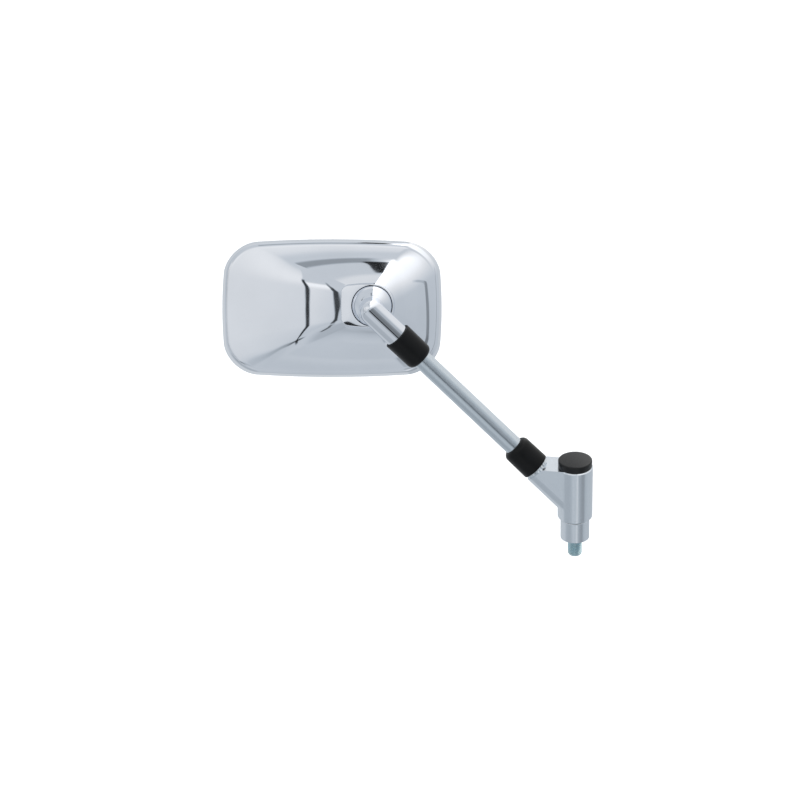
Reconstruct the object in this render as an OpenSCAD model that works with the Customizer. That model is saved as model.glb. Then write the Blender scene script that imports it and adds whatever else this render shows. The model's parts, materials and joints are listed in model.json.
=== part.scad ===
// Motorcycle mirror: M10 stud, swivelling cast arm, tube stem, ball-jointed chrome head.
// Origin: centre of the seat face above the stud. +Z is the swivel axis, the stem leans towards -X.

/* [Mount stud] */
// Major diameter of the M10 stud
stud_d = 9.9; // [7.8:0.1:11.9]
// Length of the stud below the seat face
stud_len = 14; // [10:0.5:30]
// Chamfer at the tip of the stud
stud_tip = 1; // [0.4:0.1:2]
// Diameter of the spigot that holds the stud in the adapter
spigot_d = 8; // [6:0.5:9]
// Length of the spigot
spigot_len = 10; // [6:0.5:13]

/* [Pivot adapter] */
// Diameter of the nose above the seat face
nose_d = 20.3; // [18:0.1:24]
// Height of the nose
nose_h = 15.3; // [14:0.1:22]
// Diameter of the plain pivot post
post_d = 12; // [11.5:0.1:13]
// Diameter of the threaded end of the post
post_thread_d = 9.9; // [8:0.1:11]
// Length of the threaded end of the post
post_thread_len = 11; // [9:0.5:13]
// Thickness of the friction washer between nose and arm
friction_t = 1; // [0.6:0.1:1.5]

/* [Arm casting] */
// Height of the barrel
barrel_h = 40.5; // [36:0.5:48]
// Diameter of the barrel at its foot
barrel_d1 = 24.4; // [23.5:0.1:28]
// Diameter of the barrel at its top
barrel_d2 = 25; // [24.5:0.1:29]
// Depth of the spring chamber below the top of the barrel
chamber_h = 25.8; // [24:0.1:28]
// Diameter of the spring chamber
chamber_d = 19; // [18.6:0.1:20]
// Diameter of the inclined boss
boss_d = 20.6; // [19:0.1:22]
// Distance along the stem from the swivel axis to the end of the boss
boss_end = 36.9; // [34:0.1:44]
// Depth of the threaded hole in the boss
boss_hole = 14; // [8:0.5:16]
// Rounding of the edges of the barrel
barrel_edge = 0.8; // [0.3:0.1:1.5]
// Angle of the stem away from the swivel axis
stem_lean = 45.7; // [36:0.1:50]
// Angle of the stem round the swivel axis, away from straight left
stem_swing = 9.5; // [0:0.5:20]
// Height at which the stem's axis meets the swivel axis
stem_cross_z = 26.2; // [24:0.1:30]

/* [Arm cap] */
// Diameter of the cap
cap_d = 23.5; // [22:0.1:24.5]
// Height of the cap above the barrel
cap_h = 5; // [3:0.1:8]
// Rounding of the cap's upper edge
cap_edge = 1.6; // [0.5:0.1:2.5]
// Depth of the cap's plug
plug_h = 5; // [3:0.5:5.5]

/* [Pivot stack] */
// Thickness of the two steel washers
washer_t = 1.2; // [0.8:0.1:1.6]
// Sheet thickness of a disc spring
disc_t = 0.9; // [0.6:0.1:1.2]
// Free cone height of a disc spring
disc_cone = 0.6; // [0.3:0.1:1]
// Width of the pivot nut across its flats
pivot_nut_af = 15; // [14:0.1:16]
// Height of the pivot nut
pivot_nut_h = 8; // [6:0.5:10]

/* [Stem] */
// Diameter of the tube
tube_d = 13.5; // [12:0.1:15]
// Wall of the tube
tube_wall = 1.5; // [1:0.1:2.5]
// Length of the tube
tube_len = 111.7; // [80:0.1:200]
// Diameter of the threaded ends
end_thread_d = 9.9; // [8:0.1:11.5]
// Length of each plug inside the tube
end_plug_len = 14; // [8:1:25]
// Width of a lock nut across its flats
lock_nut_af = 15; // [14:0.1:15.4]
// Height of a lock nut
lock_nut_h = 8; // [6:0.5:9]
// Height of the toothed flange of a lock nut
flange_h = 1.8; // [0.8:0.1:2.2]
// Number of teeth round the flange
flange_teeth = 24; // [12:1:36]

/* [Boots] */
// Length of the lower boot
lower_boot_len = 22.1; // [20:0.1:34]
// Length of the upper boot
upper_boot_len = 24.7; // [20:0.1:34]
// Diameter of a boot at its mouth
boot_mouth_d = 20.8; // [20.2:0.1:24]
// Diameter of a boot near its closed end
boot_tail_d = 20.3; // [19.8:0.1:21]
// Thickness of the closed end
boot_end_t = 5; // [3:0.1:7]
// Rounding of the closed end
boot_edge = 4.2; // [1:0.1:4.6]
// Gap between the boot's mouth and the arm
boot_gap = 2.3; // [0.5:0.1:3]

/* [Neck] */
// Diameter of the neck
neck_d = 17.7; // [16:0.1:17.8]
// Distance from the neck's foot to the corner of its elbow
neck_len = 36.5; // [33:0.1:50]
// Radius of the elbow's centre line
elbow_r = 10; // [9.2:0.1:12]
// Angle at which the neck dips towards the ball
neck_dip = 18; // [12:0.5:24]
// Distance from the elbow's corner to the ball's centre
ball_reach = 22; // [20:0.1:26]
// Diameter of the ball
ball_d = 29; // [27.5:0.1:31]
// Depth of the threaded hole in the neck's foot
neck_hole = 14; // [8:0.5:16]

/* [Head] */
// Width of the head
head_w = 154; // [140:1:180]
// Height of the head
head_h = 96.8; // [88:0.1:120]
// Depth of the head
head_depth = 40; // [38:0.5:50]
// Distance of the head's middle from the ball, to the left
head_shift_x = 28.1; // [10:0.1:32]
// Distance of the head's middle from the ball, downwards
head_shift_y = 1.2; // [-3:0.1:6]
// Corner radius of the rim
corner_r = 22.5; // [16:0.5:34]
// How far the sides of the rim bulge
side_bulge = 3.3; // [0:0.1:5]
// Angle at which the back of the head leans upwards
head_lean = 30; // [20:1:40]
// Wall of the housing
wall = 2.2; // [1.6:0.1:3]
// Height of the side wall
side_h = 9; // [8:0.5:14]
// Draft of the side wall
side_draft = 1.4; // [0.5:0.1:2.5]
// Rounding between the side wall and the back
back_edge = 3.4; // [2:0.1:5]
// Extent of the flat top of the back to the left of the ball
plateau_left = 21; // [18:0.5:30]
// Width of the flat lip round the ball's opening
seat_lip = 0.6; // [0.5:0.05:3]
// Rounding round the flat top
plateau_edge = 0.9; // [0.6:0.1:2]
// Share by which the flat top narrows to the left
plateau_pinch = 0.1; // [0:0.01:0.2]
// Share of the back's rise that is a plain slope
slope_share = 0.25; // [0.1:0.05:0.6]
// Power of the concave flare of the back
flare_power = 2.6; // [1.8:0.1:3.2]

/* [Ball clamp] */
// How far the seat's edge closes in over the ball
seat_bite = 0.5; // [0.3:0.05:1]
// Wall of the spherical cup
cup_wall = 1.95; // [1.5:0.05:2.2]
// Wall of the dish round the cup
dish_wall = 0.8; // [0.6:0.1:1.2]
// Wall of the housing's clamp boss
clamp_wall = 3.6; // [3:0.1:4.2]
// Thickness of the dish under the cup
dish_floor = 2.15; // [1.5:0.05:2.5]
// Height of the cup spring
cup_spring_h = 2.8; // [2:0.1:3.2]
// Thickness of the clamp plate
plate_t = 2; // [1.2:0.1:2.4]
// Distance from the clamp screws to the edges of the plate
plate_margin = 5; // [4:0.5:8]
// Diameter of the clamp screws
screw_d = 3; // [2.5:0.1:3.6]
// Length of the clamp screws below their heads
screw_len = 8; // [6:0.5:8.5]

/* [Glass] */
// Thickness of the glass
glass_t = 2; // [1.6:0.1:2.4]
// Radius of curvature of the glass
glass_r = 1200; // [1000:50:1400]
// Depth of the rubber rim that holds the glass
rim_depth = 6; // [5.5:0.1:7]
// Width of the rubber rim
rim_w = 3; // [2:0.1:4]
// How far the rubber rim overlaps the edge of the glass
rim_bite = 1.4; // [0.8:0.1:1.8]

/* [Hidden] */

$fn = 96;
over = 1;
run_gap = 0.05;
fit_gap = 0.1;
body_gap = 0.3;

// Heights on the swivel axis
barrel_z = nose_h + friction_t;
barrel_top = barrel_z + barrel_h;
chamber_z = barrel_top - chamber_h;
disc_count = 4;
disc_h = disc_t + disc_cone;
disc_z = chamber_z + washer_t;
post_top = disc_z + disc_count * disc_h;
nut_z = post_top + washer_t;

// Distances along the stem from the swivel axis
lower_boot_t = boss_end + boot_gap;
tube_t = boss_end + lock_nut_h + body_gap;
tube_top_t = tube_t + tube_len;
neck_foot_t = tube_top_t + body_gap + lock_nut_h;
corner_t = neck_foot_t + neck_len;
upper_boot_t = tube_top_t - boot_end_t + body_gap;
boot_bore_d = neck_d + 2 * body_gap;
stem_dir = [-sin(stem_lean) * cos(stem_swing), sin(stem_lean) * sin(stem_swing), cos(stem_lean)];

// The neck's elbow, seen from the stem: its heading and how far it turns
neck_az = atan2(cos(neck_dip) * cos(stem_swing),
                -cos(neck_dip) * sin(stem_swing) * cos(stem_lean) - sin(neck_dip) * sin(stem_lean));
neck_turn = acos(cos(neck_dip) * sin(stem_swing) * sin(stem_lean) - sin(neck_dip) * cos(stem_lean));
elbow_t = elbow_r * tan(neck_turn / 2);

// Head frame: origin at the ball, z out of the back, y up the head
ball_r = ball_d / 2;
corner_pos = [0, 0, stem_cross_z] + corner_t * stem_dir;
ball_pos = corner_pos + ball_reach * [0, cos(neck_dip), -sin(neck_dip)];
seat_r = ball_r + run_gap;
opening_r = seat_r - seat_bite;
top_z = sqrt(seat_r * seat_r - opening_r * opening_r);
front_z = top_z - head_depth;
back_z = front_z + side_h + back_edge;
rim = [head_w / 2 + head_shift_x, head_w / 2 - head_shift_x,
       head_h / 2 - head_shift_y, head_h / 2 + head_shift_y];
plateau_side = opening_r + seat_lip;
plateau = [plateau_left, plateau_side, plateau_side, plateau_side];
top_bulge = 0.3;
front_edge = 0.6;
top_r_left = 4;
top_r_right = plateau_side - 1.5;

// Ball clamp, from the ball inwards
cup_in_r = ball_r + run_gap;
cup_out_r = cup_in_r + cup_wall;
cup_rim_z = -7;
clamp_hole_r = 5;
dish_in_r = cup_out_r + run_gap;
dish_out_r = dish_in_r + dish_wall;
clamp_bore_r = dish_out_r + run_gap;
clamp_boss_r = clamp_bore_r + clamp_wall;
dish_rim_z = -9;
dish_z = -dish_in_r - dish_floor;
boss_foot_gap = 3;
boss_foot_z = dish_z + boss_foot_gap;
spring_z = dish_z - cup_spring_h;

// Clamp screws: their bosses grow out of the round boss and end inside the flanks
diagonal = sqrt(1 / 2);
screw_boss_wall = 1.7;
screw_boss_r = screw_d / 2 + screw_boss_wall;
screw_merge = 1.2;
screw_at = diagonal * (clamp_boss_r + screw_boss_r - screw_merge);
screw_tip_gap = 0.5;
plate_side = 2 * (screw_at + plate_margin);
foot_reach = min(rim[1], rim[2], rim[3]) - side_draft - back_edge - side_bulge / 2
             - (1 - diagonal) * (corner_r - (side_draft + back_edge) / 2);
top_reach = plateau_side + plateau_edge - (1 - diagonal) * (top_r_right + plateau_edge);
screw_boss_u = (foot_reach - screw_at - diagonal * screw_boss_r) / (foot_reach - top_reach);
screw_boss_top = mix(back_z, top_z - plateau_edge, flare(screw_boss_u)) - wall / 2;
screw_head_r = 2.8;
screw_head_h = 2;

// Glass and rim
land = wall + side_draft * rim_depth / side_h;
rim_z = front_z + 0.4;
glass_apex_z = front_z + 0.3;
glass_inset = land + rim_w - rim_bite;

zinc = [0.62, 0.70, 0.74];
cast_grey = [0.72, 0.74, 0.78];
chrome_grey = [0.86, 0.88, 0.92];
steel_grey = [0.66, 0.68, 0.70];
black_rubber = [0.10, 0.10, 0.11];
black_plastic = [0.16, 0.16, 0.17];
white_plastic = [0.88, 0.88, 0.84];
foam_grey = [0.35, 0.35, 0.37];
glass_blue = [0.75, 0.82, 0.88];

// A plain round ring
module ring(r_out, r_in, h) {
    difference() {
        cylinder(r = r_out, h = h);
        translate([0, 0, -over]) cylinder(r = r_in, h = h + 2 * over);
    }
}

// Puts its children on the stem's axis, z along the stem
module on_stem(t) {
    translate([0, 0, stem_cross_z]) rotate([0, 0, -stem_swing]) rotate([0, -stem_lean, 0])
        translate([0, 0, t]) children();
}

// Puts its children in the head's frame
module on_head() {
    translate(ball_pos) rotate([90 - head_lean, 0, 0]) children();
}

// Stud with a chamfered tip, and the spigot that is fixed in the adapter
module mount_stud() {
    color(zinc) {
        translate([0, 0, -stud_len]) cylinder(r1 = stud_d / 2 - stud_tip, r2 = stud_d / 2, h = stud_tip);
        translate([0, 0, -stud_len + stud_tip]) cylinder(d = stud_d, h = stud_len - stud_tip);
        cylinder(d = spigot_d, h = spigot_len);
    }
}

// Nose, plain post and threaded end, turned in one piece; the stud's bore is countersunk
module pivot_adapter() {
    edge = 0.8;
    sink = 0.5;
    color(cast_grey) difference() {
        rotate_extrude() polygon([
            [0, 0], [nose_d / 2 - edge, 0], [nose_d / 2, edge],
            [nose_d / 2, nose_h - edge], [nose_d / 2 - edge, nose_h],
            [post_d / 2, nose_h], [post_d / 2, post_top],
            [post_thread_d / 2, post_top], [post_thread_d / 2, post_top + post_thread_len - edge],
            [post_thread_d / 2 - edge, post_top + post_thread_len], [0, post_top + post_thread_len]]);
        translate([0, 0, -over]) cylinder(d = spigot_d, h = spigot_len + over);
        cylinder(r1 = stud_d / 2 + sink, r2 = spigot_d / 2, h = stud_d / 2 + sink - spigot_d / 2);
    }
}

module friction_washer() {
    color(white_plastic) translate([0, 0, nose_h]) ring(nose_d / 2, post_d / 2 + run_gap, friction_t);
}

module thrust_washer() {
    color(steel_grey) translate([0, 0, chamber_z])
        ring(chamber_d / 2 - body_gap, post_d / 2 + run_gap, washer_t);
}

// One disc spring, its cone open downwards
module disc_spring() {
    r_in = post_d / 2 + fit_gap;
    r_out = chamber_d / 2 - 2 * body_gap;
    rotate_extrude() polygon([[r_out, 0], [r_out, disc_t], [r_in, disc_h], [r_in, disc_cone]]);
}

// A series stack: every second disc is turned over
module disc_springs() {
    color(steel_grey) for (i = [0 : disc_count - 1]) {
        flip = i % 2;
        translate([0, 0, disc_z + (i + flip) * disc_h]) mirror([0, 0, flip]) disc_spring();
    }
}

module spring_washer() {
    color(steel_grey) translate([0, 0, post_top])
        ring(chamber_d / 2 - body_gap, post_thread_d / 2 + fit_gap, washer_t);
}

// A hexagon nut with its corners chamfered at both ends
module hex_nut(af, h, hole_r) {
    corner = af / sqrt(3);
    bevel = corner - af / 2;
    difference() {
        intersection() {
            cylinder(r = corner, h = h, $fn = 6);
            rotate_extrude() polygon([
                [0, 0], [af / 2, 0], [corner, bevel], [corner, h - bevel], [af / 2, h], [0, h]]);
        }
        translate([0, 0, -over]) cylinder(r = hole_r, h = h + 2 * over);
    }
}

module pivot_nut() {
    color(zinc) translate([0, 0, nut_z]) hex_nut(pivot_nut_af, pivot_nut_h, post_thread_d / 2);
}

// Side of the cast web: a round boss below, filled up to the flat top
module web_section() {
    circle(d = boss_d);
    translate([0, -boss_d / 2]) square([barrel_h, boss_d]);
}

// Barrel with the inclined boss; the flat top cuts the boss, the end face is square to the stem
module arm_casting() {
    foot = barrel_d1 / 2;
    head = barrel_d2 / 2;
    color(cast_grey) difference() {
        union() {
            translate([0, 0, barrel_z]) rotate_extrude() polygon([
                [0, 0], [foot - barrel_edge, 0], [foot, barrel_edge],
                [head, barrel_h - barrel_edge], [head - barrel_edge, barrel_h],
                [head - barrel_edge, barrel_h + over], [0, barrel_h + over]]);
            intersection() {
                on_stem(0) linear_extrude(boss_end) web_section();
                rotate([0, 0, -stem_swing]) translate([-2 * boss_end, -boss_d, barrel_z + over])
                    cube([2 * boss_end, 2 * boss_d, barrel_h]);
            }
        }
        translate([-2 * boss_end, -boss_end, barrel_top]) cube([3 * boss_end, 2 * boss_end, 2 * over]);
        translate([0, 0, barrel_z - over]) cylinder(d = post_d + 2 * run_gap, h = barrel_h);
        translate([0, 0, chamber_z]) cylinder(d = chamber_d, h = chamber_h + over);
        on_stem(boss_end - boss_hole) cylinder(d = end_thread_d + 2 * run_gap, h = boss_hole + over);
    }
}

// Domed cap on a hollow plug
module arm_cap() {
    r = cap_d / 2;
    color(black_plastic) translate([0, 0, barrel_top]) difference() {
        union() {
            rotate_extrude() union() {
                square([r - cap_edge, cap_h]);
                square([r, cap_h - cap_edge]);
                translate([r - cap_edge, cap_h - cap_edge]) circle(r = cap_edge);
            }
            translate([0, 0, -plug_h]) cylinder(r = chamber_d / 2 - run_gap, h = plug_h);
        }
        translate([0, 0, -plug_h - over]) cylinder(r = chamber_d / 2 - 2, h = plug_h + over);
    }
}

// Threaded end with the plug that is brazed into the tube; z = 0 is the end of the tube
module stem_end(reach) {
    chamfer = 0.8;
    plug_r = tube_d / 2 - tube_wall - run_gap;
    color(zinc) rotate_extrude() polygon([
        [0, -reach], [end_thread_d / 2 - chamfer, -reach], [end_thread_d / 2, -reach + chamfer],
        [end_thread_d / 2, 0], [plug_r, 0], [plug_r, end_plug_len - chamfer],
        [plug_r - chamfer, end_plug_len], [0, end_plug_len]]);
}

module lower_stem_end() {
    on_stem(tube_t) stem_end(tube_t - boss_end + boss_hole - over);
}

module upper_stem_end() {
    on_stem(tube_top_t) mirror([0, 0, 1]) stem_end(neck_foot_t - tube_top_t + neck_hole - over);
}

// Hexagon lock nut on a toothed flange; z = 0 is the flange's seat
module lock_nut() {
    r_out = boot_bore_d / 2 - body_gap;
    tooth = 0.5;
    step = 180 / flange_teeth;
    color(zinc) {
        difference() {
            linear_extrude(flange_h) polygon([
                for (i = [0 : 2 * flange_teeth - 1])
                    (r_out - (i % 2) * tooth) * [cos(i * step), sin(i * step)]]);
            translate([0, 0, -over]) cylinder(d = end_thread_d, h = flange_h + 2 * over);
        }
        translate([0, 0, flange_h]) hex_nut(lock_nut_af, lock_nut_h - flange_h, end_thread_d / 2);
    }
}

module lower_lock_nut() {
    on_stem(boss_end) lock_nut();
}

module upper_lock_nut() {
    on_stem(neck_foot_t) mirror([0, 0, 1]) lock_nut();
}

module stem_tube() {
    color(steel_grey) on_stem(tube_t) ring(tube_d / 2, tube_d / 2 - tube_wall, tube_len);
}

// Rubber boot: open mouth at z = 0, closed end rolled in round the tube
module boot(length) {
    mouth = boot_mouth_d / 2;
    tail = boot_tail_d / 2;
    grip = tube_d / 2;
    bore = boot_bore_d / 2;
    lip = 0.6;
    color(black_rubber) rotate_extrude() difference() {
        union() {
            polygon([[0, 0], [mouth, 0], [tail, length - boot_edge], [0, length - boot_edge]]);
            translate([tail - boot_edge, length - boot_edge]) circle(r = boot_edge);
            translate([0, length - boot_edge]) square([tail - boot_edge, boot_edge]);
        }
        translate([-over, -over]) square([bore + over, length - boot_end_t + over]);
        translate([-tail, -over]) square([tail + grip, length + 2 * over]);
        translate([grip + lip, length]) circle(r = lip);
    }
}

module lower_boot() {
    on_stem(lower_boot_t) boot(lower_boot_len);
}

module upper_boot() {
    on_stem(upper_boot_t + upper_boot_len) mirror([0, 0, 1]) boot(upper_boot_len);
}

// Cast elbow that ends in the ball; the bend is a trace slimmer and runs on into the ball
module neck() {
    r = neck_d / 2;
    chamfer = 1;
    bend_step = 0.04;
    bend_run = 4;
    color(chrome_grey) difference() {
        on_stem(corner_t) rotate([0, 0, neck_az]) {
            translate([0, 0, -neck_len]) cylinder(r1 = r - chamfer, r2 = r, h = chamfer);
            translate([0, 0, chamfer - neck_len]) cylinder(r = r, h = neck_len - chamfer - elbow_t);
            translate([elbow_r, 0, -elbow_t]) rotate([90, 0, 0]) rotate([0, 0, 180 - neck_turn])
                rotate_extrude(angle = neck_turn + bend_run) translate([elbow_r, 0])
                    circle(r = r - bend_step);
            rotate([0, neck_turn, 0]) translate([0, 0, ball_reach]) sphere(r = ball_r);
        }
        on_stem(neck_foot_t - over) cylinder(d = end_thread_d + 2 * run_gap, h = neck_hole + over);
    }
}

// Half of a spherical shell, cut off above rim_z and bored through
module ball_cup() {
    color(white_plastic) on_head() difference() {
        intersection() {
            sphere(r = cup_out_r);
            translate([0, 0, -cup_out_r - over]) cylinder(r = cup_out_r, h = cup_out_r + over + cup_rim_z);
        }
        sphere(r = cup_in_r);
        translate([0, 0, -cup_out_r - over]) cylinder(r = clamp_hole_r, h = cup_out_r + over);
    }
}

// Dish that carries the cup and turns in the housing's bore
module pressure_dish() {
    color(steel_grey) on_head() difference() {
        translate([0, 0, dish_z]) cylinder(r = dish_out_r, h = dish_rim_z - dish_z);
        sphere(r = dish_in_r);
        translate([0, 0, dish_z - over]) cylinder(r = clamp_hole_r, h = -dish_z + over);
    }
}

// Disc spring with flat lands, between the dish and the clamp plate
module cup_spring() {
    t = 0.8;
    land_w = 1.2;
    r_in = clamp_hole_r + 1.5;
    r_out = dish_out_r - 3;
    color(steel_grey) on_head() translate([0, 0, spring_z]) rotate_extrude() polygon([
        [r_out, 0], [r_out, t], [r_out - land_w, t], [r_in + land_w, cup_spring_h],
        [r_in, cup_spring_h], [r_in, cup_spring_h - t], [r_in + land_w, cup_spring_h - t],
        [r_out - land_w, 0]]);
}

// The four screw places of the clamp plate
module at_screws() {
    for (sx = [-1, 1], sy = [-1, 1]) translate([sx * screw_at, sy * screw_at, 0]) children();
}

module clamp_plate() {
    corner = 5;
    color(steel_grey) on_head() translate([0, 0, spring_z - plate_t]) difference() {
        linear_extrude(plate_t) union() {
            square([plate_side - 2 * corner, plate_side], center = true);
            square([plate_side, plate_side - 2 * corner], center = true);
            for (sx = [-1, 1], sy = [-1, 1])
                translate((plate_side / 2 - corner) * [sx, sy]) circle(r = corner);
        }
        translate([0, 0, -over]) cylinder(r = clamp_hole_r, h = plate_t + 2 * over);
        translate([0, 0, -over]) at_screws() cylinder(d = screw_d + 2 * fit_gap, h = plate_t + 2 * over);
    }
}

// Pan-head screws, driven from the glass side
module clamp_screws() {
    edge = 0.8;
    color(zinc) on_head() translate([0, 0, spring_z - plate_t]) at_screws() difference() {
        union() {
            rotate_extrude() polygon([
                [0, -screw_head_h], [screw_head_r - edge, -screw_head_h],
                [screw_head_r, edge - screw_head_h], [screw_head_r, 0], [0, 0]]);
            cylinder(d = screw_d - 2 * run_gap, h = screw_len);
        }
        for (a = [0, 90]) rotate([0, 0, a])
            translate([-1.5, -0.4, -screw_head_h - over]) cube([3, 0.8, 1 + over]);
    }
}

// Rounded rectangle about the ball, from its four extents [left, right, up, down]; its sides bulge
arc_steps = 7;
long_steps = 7;
short_steps = 4;
function corner_arc(cx, cy, r, from) =
    [for (i = [0 : arc_steps]) [cx + r * cos(from + 90 * i / arc_steps),
                                cy + r * sin(from + 90 * i / arc_steps)]];
function between(p, q, steps) = [for (i = [1 : steps - 1]) p + (q - p) * i / steps];
function swell(p, e, bulge) =
    let (c = [(e[1] - e[0]) / 2, (e[2] - e[3]) / 2], a = (e[0] + e[1]) / 2, b = (e[2] + e[3]) / 2)
    let (fx = 1 - bulge / a * pow((p.y - c.y) / b, 2), fy = 1 - bulge / b * pow((p.x - c.x) / a, 2))
    [c.x + (p.x - c.x) * fx, c.y + (p.y - c.y) * fy];
function outline(e, r_left, r_right, bulge) =
    let (ne = corner_arc(e[1] - r_right, e[2] - r_right, r_right, 0))
    let (nw = corner_arc(r_left - e[0], e[2] - r_left, r_left, 90))
    let (sw = corner_arc(r_left - e[0], r_left - e[3], r_left, 180))
    let (se = corner_arc(e[1] - r_right, r_right - e[3], r_right, 270))
    [for (p = concat(ne, between(ne[arc_steps], nw[0], long_steps), nw,
                     between(nw[arc_steps], sw[0], short_steps), sw,
                     between(sw[arc_steps], se[0], long_steps), se,
                     between(se[arc_steps], ne[0], short_steps))) swell(p, e, bulge)];
function rim_outline(inset) = outline(rim - inset * [1, 1, 1, 1], corner_r - inset / 2,
                                      corner_r - inset / 2, side_bulge);

// Narrows an outline to the left of the ball
function pinched(points, left, u) =
    [for (p = points) [p.x, p.y * (1 - plateau_pinch * u * pow(max(0, -p.x) / left, 2))]];

// Levels of the back: each is [outline, height]
back_steps = 14;
function flare(u) = slope_share * u + (1 - slope_share) * pow(u, flare_power);
function mix(a, b, u) = a + (b - a) * u;
function back_level(u, w) =
    let (base = rim - (side_draft + back_edge) * [1, 1, 1, 1], top = plateau + plateau_edge * [1, 1, 1, 1])
    let (r0 = corner_r - (side_draft + back_edge) / 2, e = mix(base, top, u) - w * [1, 1, 1, 1])
    let (r_left = mix(r0, top_r_left + plateau_edge, u) - w * u / 2)
    let (r_right = mix(r0, top_r_right + plateau_edge, u) - w * u / 2)
    [pinched(outline(e, r_left, r_right, mix(side_bulge, top_bulge, u)), e[0], u),
     mix(back_z, top_z - plateau_edge, flare(u)) - w];
function top_level(phi, w) =
    let (e = plateau + (plateau_edge * cos(phi) - w) * [1, 1, 1, 1])
    let (r_left = top_r_left + plateau_edge * cos(phi) - w / 2)
    let (r_right = top_r_right + plateau_edge * cos(phi) - w / 2)
    [pinched(outline(e, r_left, r_right, top_bulge), e[0], 1),
     top_z - plateau_edge * (1 - sin(phi)) - w];
function edge_level(phi, w) =
    [rim_outline(side_draft + back_edge * (1 - cos(phi)) + w), front_z + side_h + back_edge * sin(phi) - w];

outer_levels = concat(
    [[rim_outline(front_edge), front_z], [rim_outline(0), front_z + front_edge],
     [rim_outline(side_draft), front_z + side_h]],
    [for (phi = [22, 44, 66]) edge_level(phi, 0)],
    [for (i = [0 : back_steps]) back_level(i / back_steps, 0)],
    [for (phi = [30, 60, 90]) top_level(phi, 0)]);
inner_steps = 7;
inner_levels = concat(
    [[rim_outline(land), front_z], [rim_outline(land), front_z + rim_depth]],
    [for (i = [0 : inner_steps]) back_level(i / inner_steps, wall)],
    [top_level(90, wall)]);

// Closed skin through the outer levels and back down the inner ones
module level_shell(outer, inner) {
    n = len(outer[0][0]);
    levels = concat(outer, [for (i = [len(inner) - 1 : -1 : 0]) inner[i]]);
    m = len(outer);
    count = len(levels);
    points = [for (level = levels, p = level[0]) [p.x, p.y, level[1]]];
    walls = [for (k = [0 : count - 1], i = [0 : n - 1]) if (k != m - 1)
        let (a = k * n, b = ((k + 1) % count) * n, j = (i + 1) % n) [a + i, b + i, b + j, a + j]];
    top = [for (i = [n - 1 : -1 : 0]) (m - 1) * n + i];
    ceiling = [for (i = [0 : n - 1]) m * n + i];
    polyhedron(points = points, faces = concat(walls, [top, ceiling]), convexity = 8);
}

// Round boss under the flat top; its cone keeps it inside the flanks
module clamp_boss() {
    clamp_cone_h = 13.4;
    rotate_extrude() polygon([
        [0, top_z - 0.2], [plateau_side - 0.2, top_z - 0.2], [clamp_boss_r, top_z - clamp_cone_h],
        [clamp_boss_r, boss_foot_z], [0, boss_foot_z]]);
}

// Chromed shell: concave flanks rise from the rim to the flat top with the ball's seat
module housing() {
    color(chrome_grey) on_head() difference() {
        union() {
            level_shell(outer_levels, inner_levels);
            clamp_boss();
            translate([0, 0, spring_z]) at_screws()
                cylinder(r = screw_boss_r, h = screw_boss_top - spring_z);
        }
        sphere(r = seat_r);
        translate([0, 0, boss_foot_z - over]) cylinder(r = clamp_bore_r, h = -boss_foot_z + over - 1.5);
        translate([0, 0, spring_z - over]) at_screws()
            cylinder(d = screw_d, h = screw_len - plate_t + screw_tip_gap + over);
    }
}

// Body with a domed front of radius r; glass and pad share one centre of curvature
module domed(r) {
    reach = sqrt(head_w * head_w + head_h * head_h) / 2;
    steps = 16;
    centre_z = glass_apex_z + glass_r;
    translate([-head_shift_x, -head_shift_y]) rotate_extrude() polygon(concat(
        [for (i = [0 : steps]) let (x = reach * i / steps) [x, centre_z - sqrt(r * r - x * x)]],
        [[reach, front_z + 2 * rim_depth], [0, front_z + 2 * rim_depth]]));
}

module backing_pad() {
    pad_z = front_z + rim_depth;
    color(foam_grey) on_head() intersection() {
        translate([0, 0, front_z]) linear_extrude(pad_z - front_z)
            polygon(rim_outline(land + rim_w + body_gap));
        domed(glass_r - glass_t);
    }
}

// Rubber channel round the glass
module glass_rim() {
    color(black_rubber) on_head() difference() {
        translate([0, 0, rim_z]) linear_extrude(front_z + rim_depth - rim_z) difference() {
            polygon(rim_outline(land));
            polygon(rim_outline(land + rim_w));
        }
        intersection() {
            translate([0, 0, front_z]) linear_extrude(rim_depth) polygon(rim_outline(glass_inset));
            domed(glass_r);
        }
    }
}

module mirror_glass() {
    color(glass_blue) on_head() difference() {
        intersection() {
            translate([0, 0, front_z - over]) linear_extrude(rim_depth + over)
                polygon(rim_outline(glass_inset));
            domed(glass_r);
        }
        domed(glass_r - glass_t);
    }
}

mount_stud();
pivot_adapter();
friction_washer();
thrust_washer();
disc_springs();
spring_washer();
pivot_nut();
arm_casting();
arm_cap();
lower_stem_end();
lower_lock_nut();
lower_boot();
stem_tube();
upper_stem_end();
upper_lock_nut();
upper_boot();
neck();
ball_cup();
pressure_dish();
cup_spring();
clamp_plate();
clamp_screws();
housing();
backing_pad();
glass_rim();
mirror_glass();
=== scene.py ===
"""Looks of the motorcycle mirror: chromed head, satin stem, rubber boots, cast base and studio."""

import json
import math

import bmesh
import bpy
from bpy.props import FloatProperty, FloatVectorProperty, IntProperty, PointerProperty
from mathutils import Matrix, Vector


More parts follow.
